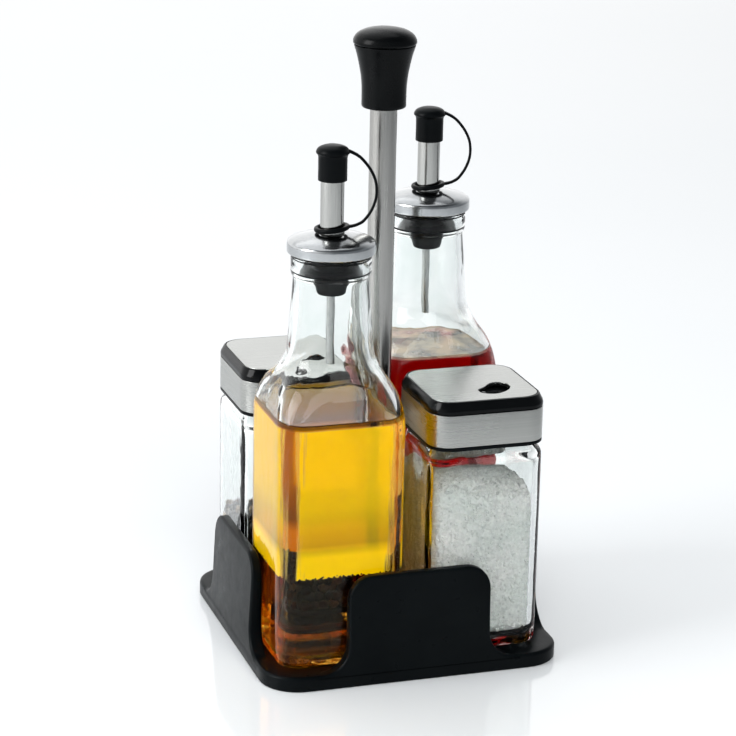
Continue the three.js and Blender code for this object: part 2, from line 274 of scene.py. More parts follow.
def smooth_loop(points, n=6):
    """A closed Catmull-Rom loop through 2D points."""
    p = [np.array(q, float) for q in points]
    m = len(p)
    out = []
    for i in range(m):
        a, b, c, d = p[i - 1], p[i], p[(i + 1) % m], p[(i + 2) % m]
        for t in np.linspace(0, 1, n, endpoint=False):
            out.append(0.5 * (2 * b + (c - a) * t + (2 * a - 5 * b + 4 * c - d) * t * t + (3 * b - 3 * c + d - a) * t ** 3))
    return out


def circle(x, y, r, n=48):
    return [(x + r * math.cos(2 * math.pi * i / n), y + r * math.sin(2 * math.pi * i / n)) for i in range(n)]


# ---------------------------------------------------------------- materials
def new_material(name):
    mat = bpy.data.materials.new(name)
    mat.use_nodes = True
    nt = mat.node_tree
    nt.nodes.clear()
    out = nt.nodes.new("ShaderNodeOutputMaterial")
    b = nt.nodes.new("ShaderNodeBsdfPrincipled")
    nt.links.new(b.outputs[0], out.inputs[0])
    return mat, nt, b, out


def coords(nt, scale=(1, 1, 1), rotation=(0, 0, 0)):
    tc = nt.nodes.new("ShaderNodeTexCoord")
    mp = nt.nodes.new("ShaderNodeMapping")
    mp.inputs["Scale"].default_value = scale
    mp.inputs["Rotation"].default_value = rotation
    nt.links.new(tc.outputs["Object"], mp.inputs["Vector"])
    return mp.outputs[0]


def noise_tex(nt, vec, scale, detail=3.0, rough=0.55):
    n = nt.nodes.new("ShaderNodeTexNoise")
    n.inputs["Scale"].default_value = scale
    n.inputs["Detail"].default_value = detail
    n.inputs["Roughness"].default_value = rough
    nt.links.new(vec, n.inputs["Vector"])
    return n.outputs["Fac"]


def ramp(nt, fac, stops):
    r = nt.nodes.new("ShaderNodeValToRGB")
    e = r.color_ramp.elements
    while len(e) < len(stops):
        e.new(0.5)
    for el, (pos, col) in zip(e, stops):
        el.position = pos
        el.color = (*col, 1)
    nt.links.new(fac, r.inputs[0])
    return r.outputs[0]


def spread(nt, fac, lo, hi, a=0.3, b=0.7):
    m = nt.nodes.new("ShaderNodeMapRange")
    m.inputs["From Min"].default_value = a
    m.inputs["From Max"].default_value = b
    m.inputs["To Min"].default_value = lo
    m.inputs["To Max"].default_value = hi
    nt.links.new(fac, m.inputs["Value"])
    return m.outputs[0]


def bump(nt, bsdf, height, strength, distance, previous=None):
    n = nt.nodes.new("ShaderNodeBump")
    n.inputs["Strength"].default_value = strength
    n.inputs["Distance"].default_value = distance
    nt.links.new(height, n.inputs["Height"])
    if previous is not None:
        nt.links.new(previous, n.inputs["Normal"])
    nt.links.new(n.outputs[0], bsdf.inputs["Normal"])
    return n.outputs[0]


def plastic(name, dark, light, rough_lo, rough_hi, spec, grain=0.04, grain_scale=2600, coat=0.0):
    mat, nt, b, _ = new_material(name)
    v = coords(nt)
    big = noise_tex(nt, v, 35, 4)
    nt.links.new(ramp(nt, big, [(0.35, dark), (0.7, light)]), b.inputs["Base Color"])
    mid = noise_tex(nt, v, 160, 5, 0.65)
    nt.links.new(spread(nt, mid, rough_lo, rough_hi), b.inputs["Roughness"])
    b.inputs["Specular IOR Level"].default_value = spec
    b.inputs["Coat Weight"].default_value = coat
    b.inputs["Coat Roughness"].default_value = 0.12
    fine = noise_tex(nt, v, grain_scale, 2, 0.5)
    first = bump(nt, b, mid, 0.05, 0.0003)
    bump(nt, b, fine, grain, 0.0001, first)
    return mat


def brushed(name, scale, dark, light, rough_lo, rough_hi, depth=0.12, aniso=0.0, turn=0.0):
    mat, nt, b, _ = new_material(name)
    v = coords(nt, scale)
    lines = noise_tex(nt, v, 1.0, 6, 0.7)
    nt.links.new(ramp(nt, lines, [(0.3, dark), (0.7, light)]), b.inputs["Base Color"])
    b.inputs["Metallic"].default_value = 1.0
    blotch = noise_tex(nt, coords(nt), 45, 3)
    mix = nt.nodes.new("ShaderNodeMath")
    mix.operation = "ADD"
    nt.links.new(spread(nt, lines, rough_lo, rough_hi), mix.inputs[0])
    nt.links.new(spread(nt, blotch, -0.02, 0.03), mix.inputs[1])
    nt.links.new(mix.outputs[0], b.inputs["Roughness"])
    b.inputs["Anisotropic"].default_value = aniso
    b.inputs["Anisotropic Rotation"].default_value = turn
    bump(nt, b, lines, depth, 0.00003)
    return mat


def height_fac(nt, z0, z1, jitter=0.0):
    """0 below z0 and 1 above z1 (millimetres up the piece), the line broken up a little."""
    tc = nt.nodes.new("ShaderNodeTexCoord")
    sep = nt.nodes.new("ShaderNodeSeparateXYZ")
    nt.links.new(tc.outputs["Object"], sep.inputs[0])
    z = sep.outputs["Z"]
    if jitter:
        v = nt.nodes.new("ShaderNodeTexVoronoi")
        v.inputs["Scale"].default_value = 850
        nt.links.new(tc.outputs["Object"], v.inputs["Vector"])
        j = spread(nt, v.outputs["Distance"], -jitter * MM, jitter * MM, 0.1, 0.6)
        add = nt.nodes.new("ShaderNodeMath")
        add.operation = "ADD"
        nt.links.new(z, add.inputs[0])
        nt.links.new(j, add.inputs[1])
        z = add.outputs[0]
    return spread(nt, z, 0.0, 1.0, z0 * MM, z1 * MM)


def glass(name, tint):
    mat, nt, b, out = new_material(name)
    v = coords(nt)
    big = noise_tex(nt, v, 60, 3)
    nt.links.new(ramp(nt, big, [(0.3, tint), (0.75, (0.995, 1.0, 0.998))]), b.inputs["Base Color"])
    b.inputs["Transmission Weight"].default_value = 1.0
    b.inputs["IOR"].default_value = 1.5
    b.inputs["Specular Tint"].default_value = (0.35, 0.35, 0.35, 1)
    smear = noise_tex(nt, v, 90, 5, 0.6)
    nt.links.new(spread(nt, smear, 0.0, 0.02, 0.45, 0.8), b.inputs["Roughness"])
    wave = noise_tex(nt, coords(nt, (1, 1, 0.45)), 130, 2)
    bump(nt, b, wave, 0.2, 0.0007)
    return mat


def liquid(name, tint, ior, colour, density, film=None):
    mat, nt, b, out = new_material(name)
    v = coords(nt)
    big = noise_tex(nt, v, 80, 2)
    nt.links.new(ramp(nt, big, [(0.3, tint), (0.7, (1, 1, 1))]), b.inputs["Base Color"])
    b.inputs["Transmission Weight"].default_value = 1.0
    b.inputs["Roughness"].default_value = 0.0
    b.inputs["IOR"].default_value = ior
    if film:
        up = height_fac(nt, film[0], film[0] + 0.4)
        patch = spread(nt, noise_tex(nt, v, 70, 4), 0.25, 1.0, 0.35, 0.6)
        both = nt.nodes.new("ShaderNodeMath")
        both.operation = "MULTIPLY"
        nt.links.new(up, both.inputs[0])
        nt.links.new(patch, both.inputs[1])
        mix = nt.nodes.new("ShaderNodeMix")
        mix.data_type = "RGBA"
        nt.links.new(both.outputs[0], mix.inputs["Factor"])
        nt.links.new(b.inputs["Base Color"].links[0].from_socket, mix.inputs["A"])
        mix.inputs["B"].default_value = (*film[1], 1)
        nt.links.new(mix.outputs["Result"], b.inputs["Base Color"])
        nt.links.new(spread(nt, both.outputs[0], 1.0, 0.35, 0, 1), b.inputs["Transmission Weight"])
    b.inputs["Specular Tint"].default_value = (0.08, 0.08, 0.08, 1)
    a = nt.nodes.new("ShaderNodeVolumeAbsorption")
    a.inputs["Color"].default_value = (*colour, 1)
    a.inputs["Density"].default_value = density
    nt.links.new(a.outputs[0], out.inputs["Volume"])
    return mat


def oil_material():
    """Golden oil: hazy on its faces above the line at 45 mm, where emission adds painted light and the colour has a
    painted-shade band darkest at about 58 mm; clear at the corners, the surface and below.
    """
    mat, nt, b, out = new_material("oil")
    cx, cy = centre("oil_bottle")

    def math_node(op, a, c):
        m = nt.nodes.new("ShaderNodeMath")
        m.operation = op
        for i, v in enumerate((a, c)):
            if isinstance(v, (int, float)):
                m.inputs[i].default_value = v
            else:
                nt.links.new(v, m.inputs[i])
        return m.outputs[0]

    tc = nt.nodes.new("ShaderNodeTexCoord")
    sep = nt.nodes.new("ShaderNodeSeparateXYZ")
    nt.links.new(tc.outputs["Object"], sep.inputs[0])
    u = math_node("ABSOLUTE", math_node("SUBTRACT", sep.outputs["X"], cx * MM), 0)
    v = math_node("ABSOLUTE", math_node("SUBTRACT", sep.outputs["Y"], cy * MM), 0)
    streak = noise_tex(nt, coords(nt, (1, 1, 0.06)), 420, 3)
    near = math_node("ADD", math_node("MINIMUM", u, v), spread(nt, streak, -0.0022, 0.0022))
    face = spread(nt, near, 1.0, 0.0, 0.0172, 0.0205)

    line = height_fac(nt, 44.9, 45.4, 0.6)
    # mask of the faces above the line: less clear there, and given painted light by emission
    cloud_and_glow = math_node("MULTIPLY", math_node("MULTIPLY", line, height_fac(nt, 107.0, 106.2)), face)
    tall = height_fac(nt, 38, 110)
    # base colour by height on the faces: brightest just above the line, with a painted-shade band from about 53 to 74
    # mm
    colour = ramp(nt, tall, [(0.0, (1.0, 0.68, 0.0)), (0.215, (1.0, 0.68, 0.0)), (0.285, (0.60, 0.43, 0.012)), (0.35, (0.68, 0.48, 0.01)),
                             (0.5, (0.92, 0.66, 0.002)), (1.0, (0.96, 0.68, 0.002))])
    # emission colour by height: painted light, with the same painted-shade band
    painted_glow = ramp(nt, tall, [(0.0, (1.0, 0.66, 0.0)), (0.215, (1.0, 0.66, 0.0)), (0.285, (0.30, 0.21, 0.0)), (0.35, (0.36, 0.25, 0.0)),
                           (0.5, (0.55, 0.39, 0.0)), (1.0, (0.56, 0.39, 0.0))])
    mix = nt.nodes.new("ShaderNodeMix")
    mix.data_type = "RGBA"
    nt.links.new(cloud_and_glow, mix.inputs["Factor"])
    nt.links.new(ramp(nt, height_fac(nt, 106.4, 107.4), [(0.0, (0.96, 0.84, 0.5)), (1.0, (0.17, 0.20, 0.155))]), mix.inputs["A"])
    nt.links.new(colour, mix.inputs["B"])
    nt.links.new(mix.outputs["Result"], b.inputs["Base Color"])
    nt.links.new(spread(nt, cloud_and_glow, 1.0, 0.45, 0, 1), b.inputs["Transmission Weight"])
    # emission on the faces above the line: painted light
    nt.links.new(painted_glow, b.inputs["Emission Color"])
    nt.links.new(spread(nt, cloud_and_glow, 0.0, 0.42, 0, 1), b.inputs["Emission Strength"])
    b.inputs["Roughness"].default_value = 0.0
    b.inputs["IOR"].default_value = 1.47
    b.inputs["Specular Tint"].default_value = (0.08, 0.08, 0.08, 1)
    a = nt.nodes.new("ShaderNodeVolumeAbsorption")
    a.inputs["Color"].default_value = (0.93, 0.66, 0.02, 1)
    a.inputs["Density"].default_value = 48
    nt.links.new(a.outputs[0], out.inputs["Volume"])
    return mat


M = {}
M["black"] = plastic("black_moulding", (0.0025, 0.0038, 0.0046), (0.0048, 0.0066, 0.0075), 0.26, 0.36, 0.115, 0.05)
M["knob"] = plastic("black_knob", (0.0025, 0.003, 0.0034), (0.0045, 0.0052, 0.0056), 0.2, 0.3, 0.14, 0.04)
M["gloss"] = plastic("black_gloss", (0.002, 0.0025, 0.003), (0.004, 0.0045, 0.005), 0.1, 0.16, 0.2, 0.02)
# dial black made lighter than the other black plastics: painted light, so that it shows inside the shaded opening
M["dial"] = plastic("dial_black", (0.012, 0.013, 0.014), (0.024, 0.026, 0.028), 0.22, 0.34, 0.5, 0.04)
M["soft"] = plastic("soft_black", (0.002, 0.0027, 0.0032), (0.004, 0.0052, 0.006), 0.28, 0.4, 0.12, 0.06, 1800)
M["band"] = brushed("steel_band", (9, 9, 3600), (0.37, 0.375, 0.36), (0.46, 0.46, 0.445), 0.24, 0.32, 0.06)
M["plate"] = brushed("steel_plate", (12, 4200, 400), (0.39, 0.40, 0.388), (0.47, 0.475, 0.46), 0.24, 0.32, 0.06)
M["tube"] = brushed("steel_tube", (2600, 2600, 24), (0.36, 0.355, 0.342), (0.46, 0.455, 0.438), 0.2, 0.28, 0.05)
M["spout"] = brushed("steel_spout", (3000, 3000, 60), (0.38, 0.38, 0.37), (0.50, 0.50, 0.48), 0.12, 0.2, 0.06)
M["plain"] = brushed("steel_plain", (900, 900, 300), (0.42, 0.42, 0.42), (0.58, 0.58, 0.57), 0.3, 0.42)
M["polished"] = brushed("steel_polished", (500, 500, 500), (0.40, 0.415, 0.425), (0.48, 0.49, 0.495), 0.13, 0.2, 0.03)
M["brass"] = brushed("brass", (1500, 1500, 1500), (0.55, 0.38, 0.15), (0.7, 0.5, 0.24), 0.25, 0.4)
M["glass"] = glass("clear_glass", (0.905, 0.942, 0.928))
M["oil"] = oil_material()
M["vinegar"] = liquid("vinegar", (1.0, 0.95, 0.93), 1.35, (0.82, 0.06, 0.05), 160, (112.6, (0.95, 0.76, 0.55)))
M["seal"] = plastic("seal", (0.55, 0.55, 0.52), (0.68, 0.68, 0.65), 0.5, 0.62, 0.4, 0.05)


def salt_material():
    mat, nt, b, _ = new_material("salt")
    v = coords(nt)
    cells = nt.nodes.new("ShaderNodeTexVoronoi")
    cells.inputs["Scale"].default_value = 900
    nt.links.new(v, cells.inputs["Vector"])
    at = nt.nodes.new("ShaderNodeAttribute")
    at.attribute_name = "tone"
    mix = nt.nodes.new("ShaderNodeMix")
    mix.data_type = "RGBA"
    mix.blend_type = "MULTIPLY"
    mix.inputs["Factor"].default_value = 1.0
    nt.links.new(at.outputs["Color"], mix.inputs["A"])
    nt.links.new(ramp(nt, cells.outputs["Distance"], [(0.0, (1.0, 1.0, 0.995)), (0.75, (0.93, 0.935, 0.925))]), mix.inputs["B"])
    nt.links.new(mix.outputs["Result"], b.inputs["Base Color"])
    nt.links.new(spread(nt, noise_tex(nt, v, 1500, 2), 0.2, 0.5), b.inputs["Roughness"])
    b.inputs["Subsurface Weight"].default_value = 0.25
    b.inputs["Subsurface Radius"].default_value = (0.001, 0.001, 0.001)
    b.inputs["Subsurface Scale"].default_value = 1.0
    bump(nt, b, cells.outputs["Distance"], 0.25, 0.0003)
    return mat


def pepper_material():
    mat, nt, b, _ = new_material("pepper")
    at = nt.nodes.new("ShaderNodeAttribute")
    at.attribute_name = "tone"
    v = coords(nt)
    n = noise_tex(nt, v, 900, 4, 0.65)
    mix = nt.nodes.new("ShaderNodeMix")
    mix.data_type = "RGBA"
    mix.blend_type = "MULTIPLY"
    mix.inputs["Factor"].default_value = 0.8
    nt.links.new(at.outputs["Color"], mix.inputs["A"])
    nt.links.new(ramp(nt, n, [(0.3, (0.45, 0.42, 0.4)), (0.65, (1, 1, 1))]), mix.inputs["B"])
    nt.links.new(mix.outputs["Result"], b.inputs["Base Color"])
    nt.links.new(spread(nt, n, 0.45, 0.75), b.inputs["Roughness"])
    bump(nt, b, n, 0.6, 0.0005)
    return mat


M["salt"] = salt_material()
M["pepper"] = pepper_material()


def finish_piece(ob, mat, body, nodes):
    ob.data.materials.clear()
    ob.data.materials.append(M[mat])
    if body:
        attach(ob, body)
    if nodes:
        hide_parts(*nodes)
    return ob


def repaint(node, mat):
    o = NODES[node]
    o.data.materials.clear()
    o.data.materials.append(M[mat])


# -------------------------------------------------------------------- caddy
def tray_base():
    prof = soften([
        (2.8, 4.8, 2.8), (7.5, 4.8, 7.5, 0.2), (7.5, 0.5, 7.5, 0.2), (10.5, 0.5, 10.5, 0.3), (10.5, 3.2, 10.5, 0.4),
        (60.7, 3.2, 13.5, 0.6), (60.7, 0.0, 13.5, 0.3), (63.2, 0.0, 16.0, 0.5), (63.2, 6.0, 16.0, 1.5),
        (60.0, 6.0, 13.0), (14.0, 6.0, 14.0), (8.0, 6.0, 8.0, 0.9), (8.0, 14.0, 8.0, 1.0), (5.8, 14.0, 5.8, 0.4),
        (5.8, 9.0, 5.8), (2.8, 9.0, 2.8),
    ], 6, True)
    return skin_data(rings_of(prof, 0, 0, 128), True)


def tray_wall(turns):
    """One mid-side wall, its outline swept with a rounded edge on both faces."""
    foot, r, thick = 41.0, 1.35, 6.0
    pts = [(44.5, 2.6, (1, 0)), (44.5, 5.97, (0.7, 0.7)), (42.5, 5.98, (0, 1))]
    for t in np.linspace(0, math.pi / 2, 18):
        pts.append((foot - 11 * math.sin(t), 6.0 + 11.5 * (1 - math.cos(t)), (math.sin(t), math.cos(t))))
    for z in (22, 27, 31):
        pts.append((30.0, z, (1, 0)))
    for t in np.linspace(0, math.pi / 2, 16):
        pts.append((20 + 10 * math.cos(t), 36 + 10 * math.sin(t), (math.cos(t), math.sin(t))))
    steps = [(r * (1 - math.sin(f)), -thick / 2 + r * (1 - math.cos(f))) for f in np.linspace(0, math.pi / 2, 7)]
    steps += [(d, -w) for d, w in reversed(steps)]

    def place(u, z, w):
        t = max(0.0, (z - 5.0) / 41.0)
        lean = 2.05 * (t - 0.05 * (1 - math.exp(-t / 0.05)))
        outer = 63.212 - lean
        y = -(57.2 + (w + thick / 2) / thick * (outer - 57.2))
        a = turns * math.pi / 2
        return (u * math.cos(a) - y * math.sin(a), u * math.sin(a) + y * math.cos(a), z)

    verts, faces = [], []
    m, q = len(pts), len(steps)
    for side in (1, -1):
        for u, z, (nu, nz) in pts:
            for d, w in steps:
                verts.append(place(side * (u - nu * d), z - nz * d, w))
    def at(side, i, j):
        return (0 if side > 0 else m * q) + i * q + j
    for i in range(m - 1):
        for j in range(q - 1):
            faces.append((at(1, i, j), at(1, i, j + 1), at(1, i + 1, j + 1), at(1, i + 1, j)))
            faces.append((at(-1, i + 1, j), at(-1, i + 1, j + 1), at(-1, i, j + 1), at(-1, i, j)))
        # inner and outer faces, a strip across the wall per step
        faces.append((at(-1, i, 0), at(1, i, 0), at(1, i + 1, 0), at(-1, i + 1, 0)))
        faces.append((at(1, i, q - 1), at(-1, i, q - 1), at(-1, i + 1, q - 1), at(1, i + 1, q - 1)))
    for j in range(q - 1):
        faces.append((at(1, m - 1, j), at(1, m - 1, j + 1), at(-1, m - 1, j + 1), at(-1, m - 1, j)))
        faces.append((at(-1, 0, j), at(-1, 0, j + 1), at(1, 0, j + 1), at(1, 0, j)))
    return verts, faces


def box_data(x0, x1, y0, y1, z0, z1):
    v = [(x, y, z) for z in (z0, z1) for x, y in ((x0, y0), (x1, y0), (x1, y1), (x0, y1))]
    return v, [(3, 2, 1, 0), (4, 5, 6, 7), (0, 1, 5, 4), (1, 2, 6, 5), (2, 3, 7, 6), (3, 0, 4, 7)]


parts = [tray_base()] + [tray_wall(i) for i in range(4)]
parts += [box_data(10.0, 61.0, -0.9, 0.9, 1.0, 3.4), box_data(-61.0, -10.0, -0.9, 0.9, 1.0, 3.4),
          box_data(-0.9, 0.9, 10.0, 61.0, 1.0, 3.4), box_data(-0.9, 0.9, -61.0, -10.0, 1.0, 3.4)]
tray = mesh_object("caddy_moulding", *join_data(parts), 32)
finish_piece(tray, "black", "caddy", ["caddy_tray"])

pole = turned("centre_pole", [(4.5, 9.3), (5.5, 9.3, 0.2), (5.5, 120), (5.5, 232.3, 0.2), (4.5, 232.3)], 0, 0, 64)
finish_piece(pole, "tube", "caddy", ["pole_tube"])

knob = turned("knob_grip", [
    (5.8, 222.7), (9.05, 222.7, 1.3), (9.02, 226.5, 2), (9.05, 230.4, 2), (9.24, 233.3, 1.4), (9.58, 236.2, 1.4),
    (10.1, 239.1, 1.4), (10.7, 241.9, 1.4), (11.4, 244.8, 1.3), (12.25, 247.3, 0.8), (12.45, 248.15, 0.25), (8.3, 248.15),
    (8.3, 244.6), (3.9, 244.6), (3.9, 232.6), (5.8, 232.6)], 0, 0, 96, True, 40)
finish_piece(knob, "knob", "caddy", ["knob_body"])

cap = turned("knob_dome", [
    (0, 244.9), (7.9, 244.9), (7.9, 248.35), (12.3, 248.35, 0.2), (12.85, 248.95, 0.35), (12.8, 250.0, 0.5), (12.3, 251.4, 0.8),
    (10.9, 252.9, 1.2), (8.4, 254.1, 1.5), (4.6, 254.98, 2.0), (0, 255.2)], 0, 0, 96, False, 40)
finish_piece(cap, "knob", "caddy", ["knob_cap"])

for node in ("pole_tie_rod", "base_washer", "base_nut"):
    repaint(node, "plain")
repaint("knob_insert", "brass")

# ------------------------------------------------------------------ bottles
BOTTLE_OUT_TOP = spline([
    (26.2, 100, 9), (26.2, 104, 9), (26.12, 107.4, 9.4), (25.7, 111.3, 10.8), (24.95, 115.2, 12.5), (23.4, 119.3, 14.4),
    (21.1, 123.0, 16.0), (19.05, 127.0, 16.9), (17.55, 132.0, 17.3), (16.9, 137.5, 16.9), (16.45, 144.3, 16.45),
    (15.9, 152.0, 15.9), (15.3, 159.5, 15.3), (15.15, 162.6, 15.15)], 5)
BOTTLE_IN_TOP = spline([
    (23.4, 100, 6.2), (23.4, 104, 6.3), (23.2, 108.3, 7.4), (22.45, 113.3, 9.9), (20.9, 118.2, 12.4), (18.4, 122.8, 14.4),
    (16.1, 127.3, 15.4), (14.6, 132.0, 14.6), (13.9, 137.5, 13.9), (13.3, 146, 13.3), (12.7, 157, 12.7), (12.5, 164, 12.5)], 5)


def bottle_profiles():
    outer = soften([(0, 7.3, 0), (14, 7.2, 8, 1.0), (18.6, 6.3, 7.5, 0.8), (26.2, 6.3, 9, 3.4), (26.2, 60, 9)], 8)
    outer = divide(outer[:-1] + [np.array((26.2, 99.0, 9.0))], 4) + list(BOTTLE_OUT_TOP)
    outer += soften([(15.15, 162.7, 15.15), (16.1, 164.3, 16.1, 0.9), (16.1, 171.98, 16.1, 0.9), (13.6, 171.98, 13.6)], 5)[1:]
    inner = soften([(0, 11.0, 0), (19.5, 11.3, 4.5, 1.5), (23.4, 12.0, 6.2, 3.0), (23.4, 60, 6.2)], 8)
    inner = divide(inner[:-1] + [np.array((23.4, 99.0, 6.2))], 4) + list(BOTTLE_IN_TOP)
    inner += [np.array((12.5, 170.9, 12.5)), np.array((12.75, 171.6, 12.75)), np.array((13.2, 171.9, 13.2))]
    return outer, inner


def make_bottle(prefix, level, liquid_mat, seed):
    cx, cy = centre(f"{prefix}_bottle")
    outer, inner = bottle_profiles()
    n = 128
    rings = rings_of(outer, cx, cy, n, (0.05, 16, seed))
    rings_in = rings_of(inner, cx, cy, n, (0.26, 12, seed + 5))
    ob = mesh_object(f"{prefix}_glass_bottle", *skin_data(rings + rings_in[::-1]), 50)
    finish_piece(ob, "glass", f"{prefix}_bottle_body", [f"{prefix}_bottle"])

    wet = [np.array(p) for p in inner if p[1] < level - 0.2]
    wall_s = float(np.interp(level, [p[1] for p in inner if p[1] > 20], [p[0] for p in inner if p[1] > 20]))
    wall_k = float(np.interp(level, [p[1] for p in inner if p[1] > 20], [p[2] for p in inner if p[1] > 20]))
    grow = 0.2
    prof = [np.array((max(0.0, p[0] + (grow if p[0] > 1 else 0)), p[1] - (0.1 if p[1] < 11.6 else 0), p[2] + grow)) for p in wet]
    for inset, rise in ((-grow, 0.9), (0.25, 0.5), (0.7, 0.22), (1.3, 0.07), (2.4, 0.0)):
        prof.append(np.array((wall_s - inset, level + rise, max(1.0, wall_k - inset))))
    prof.append(np.array((10, level, 9)))
    prof.append(np.array((0, level, 0)))
    rings = rings_of(prof, cx, cy, n, (0.26, 12, seed + 5))
    ob = mesh_object(f"{prefix}_liquid", *skin_data(rings), 60)
    finish_piece(ob, liquid_mat, f"{prefix}_bottle_body", [f"{prefix}_fill"])


make_bottle("oil", 108.0, "oil", 1.0)
make_bottle("vinegar", 113.0, "vinegar", 31.0)


# ----------------------------------------------------------------- stoppers
STRAP = [(6.9, 182.75), (8.6, 183.1), (10.4, 183.8), (12.6, 185.3), (15.2, 189.0), (16.9, 193.4), (17.3, 197.5),
         (16.7, 201.6), (14.8, 205.7), (11.8, 209.5), (9.3, 211.5), (6.2, 213.0)]
STRAP_AZ = math.radians(-18.1)


def make_stopper(prefix):
    cx, cy = centre(f"{prefix}_bottle")
    body = f"{prefix}_stopper"
    disc = turned(f"{prefix}_pourer_cover", [
        (17.0, 172.6), (17.6, 172.6, 0.2), (17.6, 176.55, 0.9), (16.6, 177.45, 0.9), (14.4, 178.3, 1.2), (11.0, 179.15, 2), (8.0, 179.75, 1.5),
        (5.2, 180.15, 0.5), (4.95, 179.5), (8.0, 179.1), (11.0, 178.5), (14.2, 177.6), (17.0, 176.2, 0.5)], cx, cy, 112, True, 40)
    finish_piece(disc, "polished", body, [f"{prefix}_stopper_disc"])

    plug = turned(f"{prefix}_pourer_plug", [
        (1.85, 155.4), (5.7, 155.4, 0.8), (6.3, 158.5, 1), (6.7, 163.2, 0.6), (10.2, 163.9, 0.5), (12.66, 164.4, 0.1), (12.66, 164.9, 0.1),
        (9.8, 165.1, 0.5), (7.3, 165.6, 0.6), (7.7, 168.3, 0.6), (10.0, 169.0, 0.5), (12.66, 169.6, 0.1), (12.66, 170.1, 0.1),
        (10, 170.45, 0.5), (8.2, 171.0, 0.6), (8.2, 172.3, 0.3), (16.6, 172.3, 0.4), (16.6, 175.8, 0.3), (5.0, 175.8), (5.0, 168.0), (1.85, 168.0)],
        cx, cy, 72, True, 35)
    finish_piece(plug, "soft", body, [f"{prefix}_stopper_plug"])

    tube = turned(f"{prefix}_spout", [(4.15, 168.3), (4.675, 168.3), (4.675, 190), (4.675, 211.2, 0.2), (4.15, 211.2, 0.2), (4.15, 190)], cx, cy, 56)
    finish_piece(tube, "spout", body, [f"{prefix}_pour_tube"])
    vent = turned(f"{prefix}_air_tube", [(0.95, 126.5), (1.55, 126.5, 0.15), (1.55, 150), (1.55, 170.5, 0.15), (0.95, 170.5), (0.95, 150)], cx, cy, 28)
    finish_piece(vent, "plain", body, [f"{prefix}_vent_tube"])

    # tether ring, tilted up towards the strap
    tilt, R = math.radians(6), 6.2
    rings = []
    n, q = 64, 14
    for i in range(n):
        a = 2 * math.pi * i / n
        ring = []
        for j in range(q):
            b = 2 * math.pi * j / q
            sq = 1 / max(abs(math.cos(b)), abs(math.sin(b))) ** 0.35
            r, z = R + 0.9 * sq * math.cos(b), 0.88 * sq * math.sin(b)
            x, y = r * math.cos(a), r * math.sin(a)
            x, z = x * math.cos(tilt) - z * math.sin(tilt), x * math.sin(tilt) + z * math.cos(tilt)
            x, y = x * math.cos(STRAP_AZ) - y * math.sin(STRAP_AZ), x * math.sin(STRAP_AZ) + y * math.cos(STRAP_AZ)
            ring.append((cx + x, cy + y, 182.0 + z))
        rings.append(ring)
    verts, faces = skin_data(rings, True)
    ring_ob = mesh_object(f"{prefix}_tether_collar", verts, [f[::-1] for f in faces], 60)
    finish_piece(ring_ob, "soft", body, [f"{prefix}_tether_ring"])

    # tether strap, a rounded rectangle swept round its loop
    path = spline([(a, b, 0) for a, b in STRAP], 6)
    rings = []
    for i, p in enumerate(path):
        a, b = path[max(0, i - 1)], path[min(len(path) - 1, i + 1)]
        t = (b - a)[:2] / np.linalg.norm((b - a)[:2])
        nrm = np.array((t[1], -t[0]))
        ends = min(i, len(path) - 1 - i) / 8.0
        wide = 0.95 + 0.45 * max(0.0, 1 - ends)
        ring = []
        for j in range(12):
            f = 2 * math.pi * j / 12
            c, s = math.cos(f), math.sin(f)
            du = 0.56 * math.copysign(abs(c) ** 0.6, c)
            dw = wide * math.copysign(abs(s) ** 0.6, s)
            rr, z = p[0] + nrm[0] * du, p[1] + nrm[1] * du
            ring.append((cx + rr * math.cos(STRAP_AZ) - dw * math.sin(STRAP_AZ), cy + rr * math.sin(STRAP_AZ) + dw * math.cos(STRAP_AZ), z))
        rings.append(ring)
    first = [tuple(np.mean(rings[0], 0))]
    last = [tuple(np.mean(rings[-1], 0))]
    strap = mesh_object(f"{prefix}_tether", *skin_data([first] + rings + [last]), 60)
    strap.data.materials.append(M["soft"])
    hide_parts(f"{prefix}_tether_strap")
    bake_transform(strap)

    spout_cap = turned(f"{prefix}_dust_cap", [
        (0, 211.6), (5.0, 211.6), (5.0, 201.2), (5.75, 201.2, 0.25), (5.72, 206, 1), (5.75, 210.9, 0.7), (6.15, 211.7, 0.5), (6.68, 212.1, 0.35), (6.62, 213.0, 0.5),
        (5.7, 214.3, 0.9), (3.4, 215.25, 1.2), (0, 215.5)], cx, cy, 72, False, 45)
    finish_piece(spout_cap, "soft", f"{prefix}_cap", [f"{prefix}_spout_cap"])


make_stopper("oil")
make_stopper("vinegar")

# ----------------------------------------------------------------- shakers
OPENING = [(-0.7, -9.3), (0.6, -7.9), (2.1, -6.8), (3.6, -5.4), (5.1, -3.7), (6.6, -2.3), (8.3, -1.5), (9.8, -1.3),
           (11.2, -1.6), (12.4, -2.4), (13.3, -3.7), (13.8, -5.4), (13.7, -7.4), (12.9, -9.3), (12.0, -10.8),
           (10.3, -12.6), (8.3, -14.1), (6.6, -15.0), (4.8, -15.5), (3.0, -15.3), (1.4, -14.7), (0.1, -13.8), (-0.7, -12.6)]
SIEVE = [(8.2, -7.8), (5.4, -8.8), (9.6, -10.4), (6.9, -5.1), (11.0, -6.2)]

JAR_IN = [(21.4, 13.6, 5.1)]


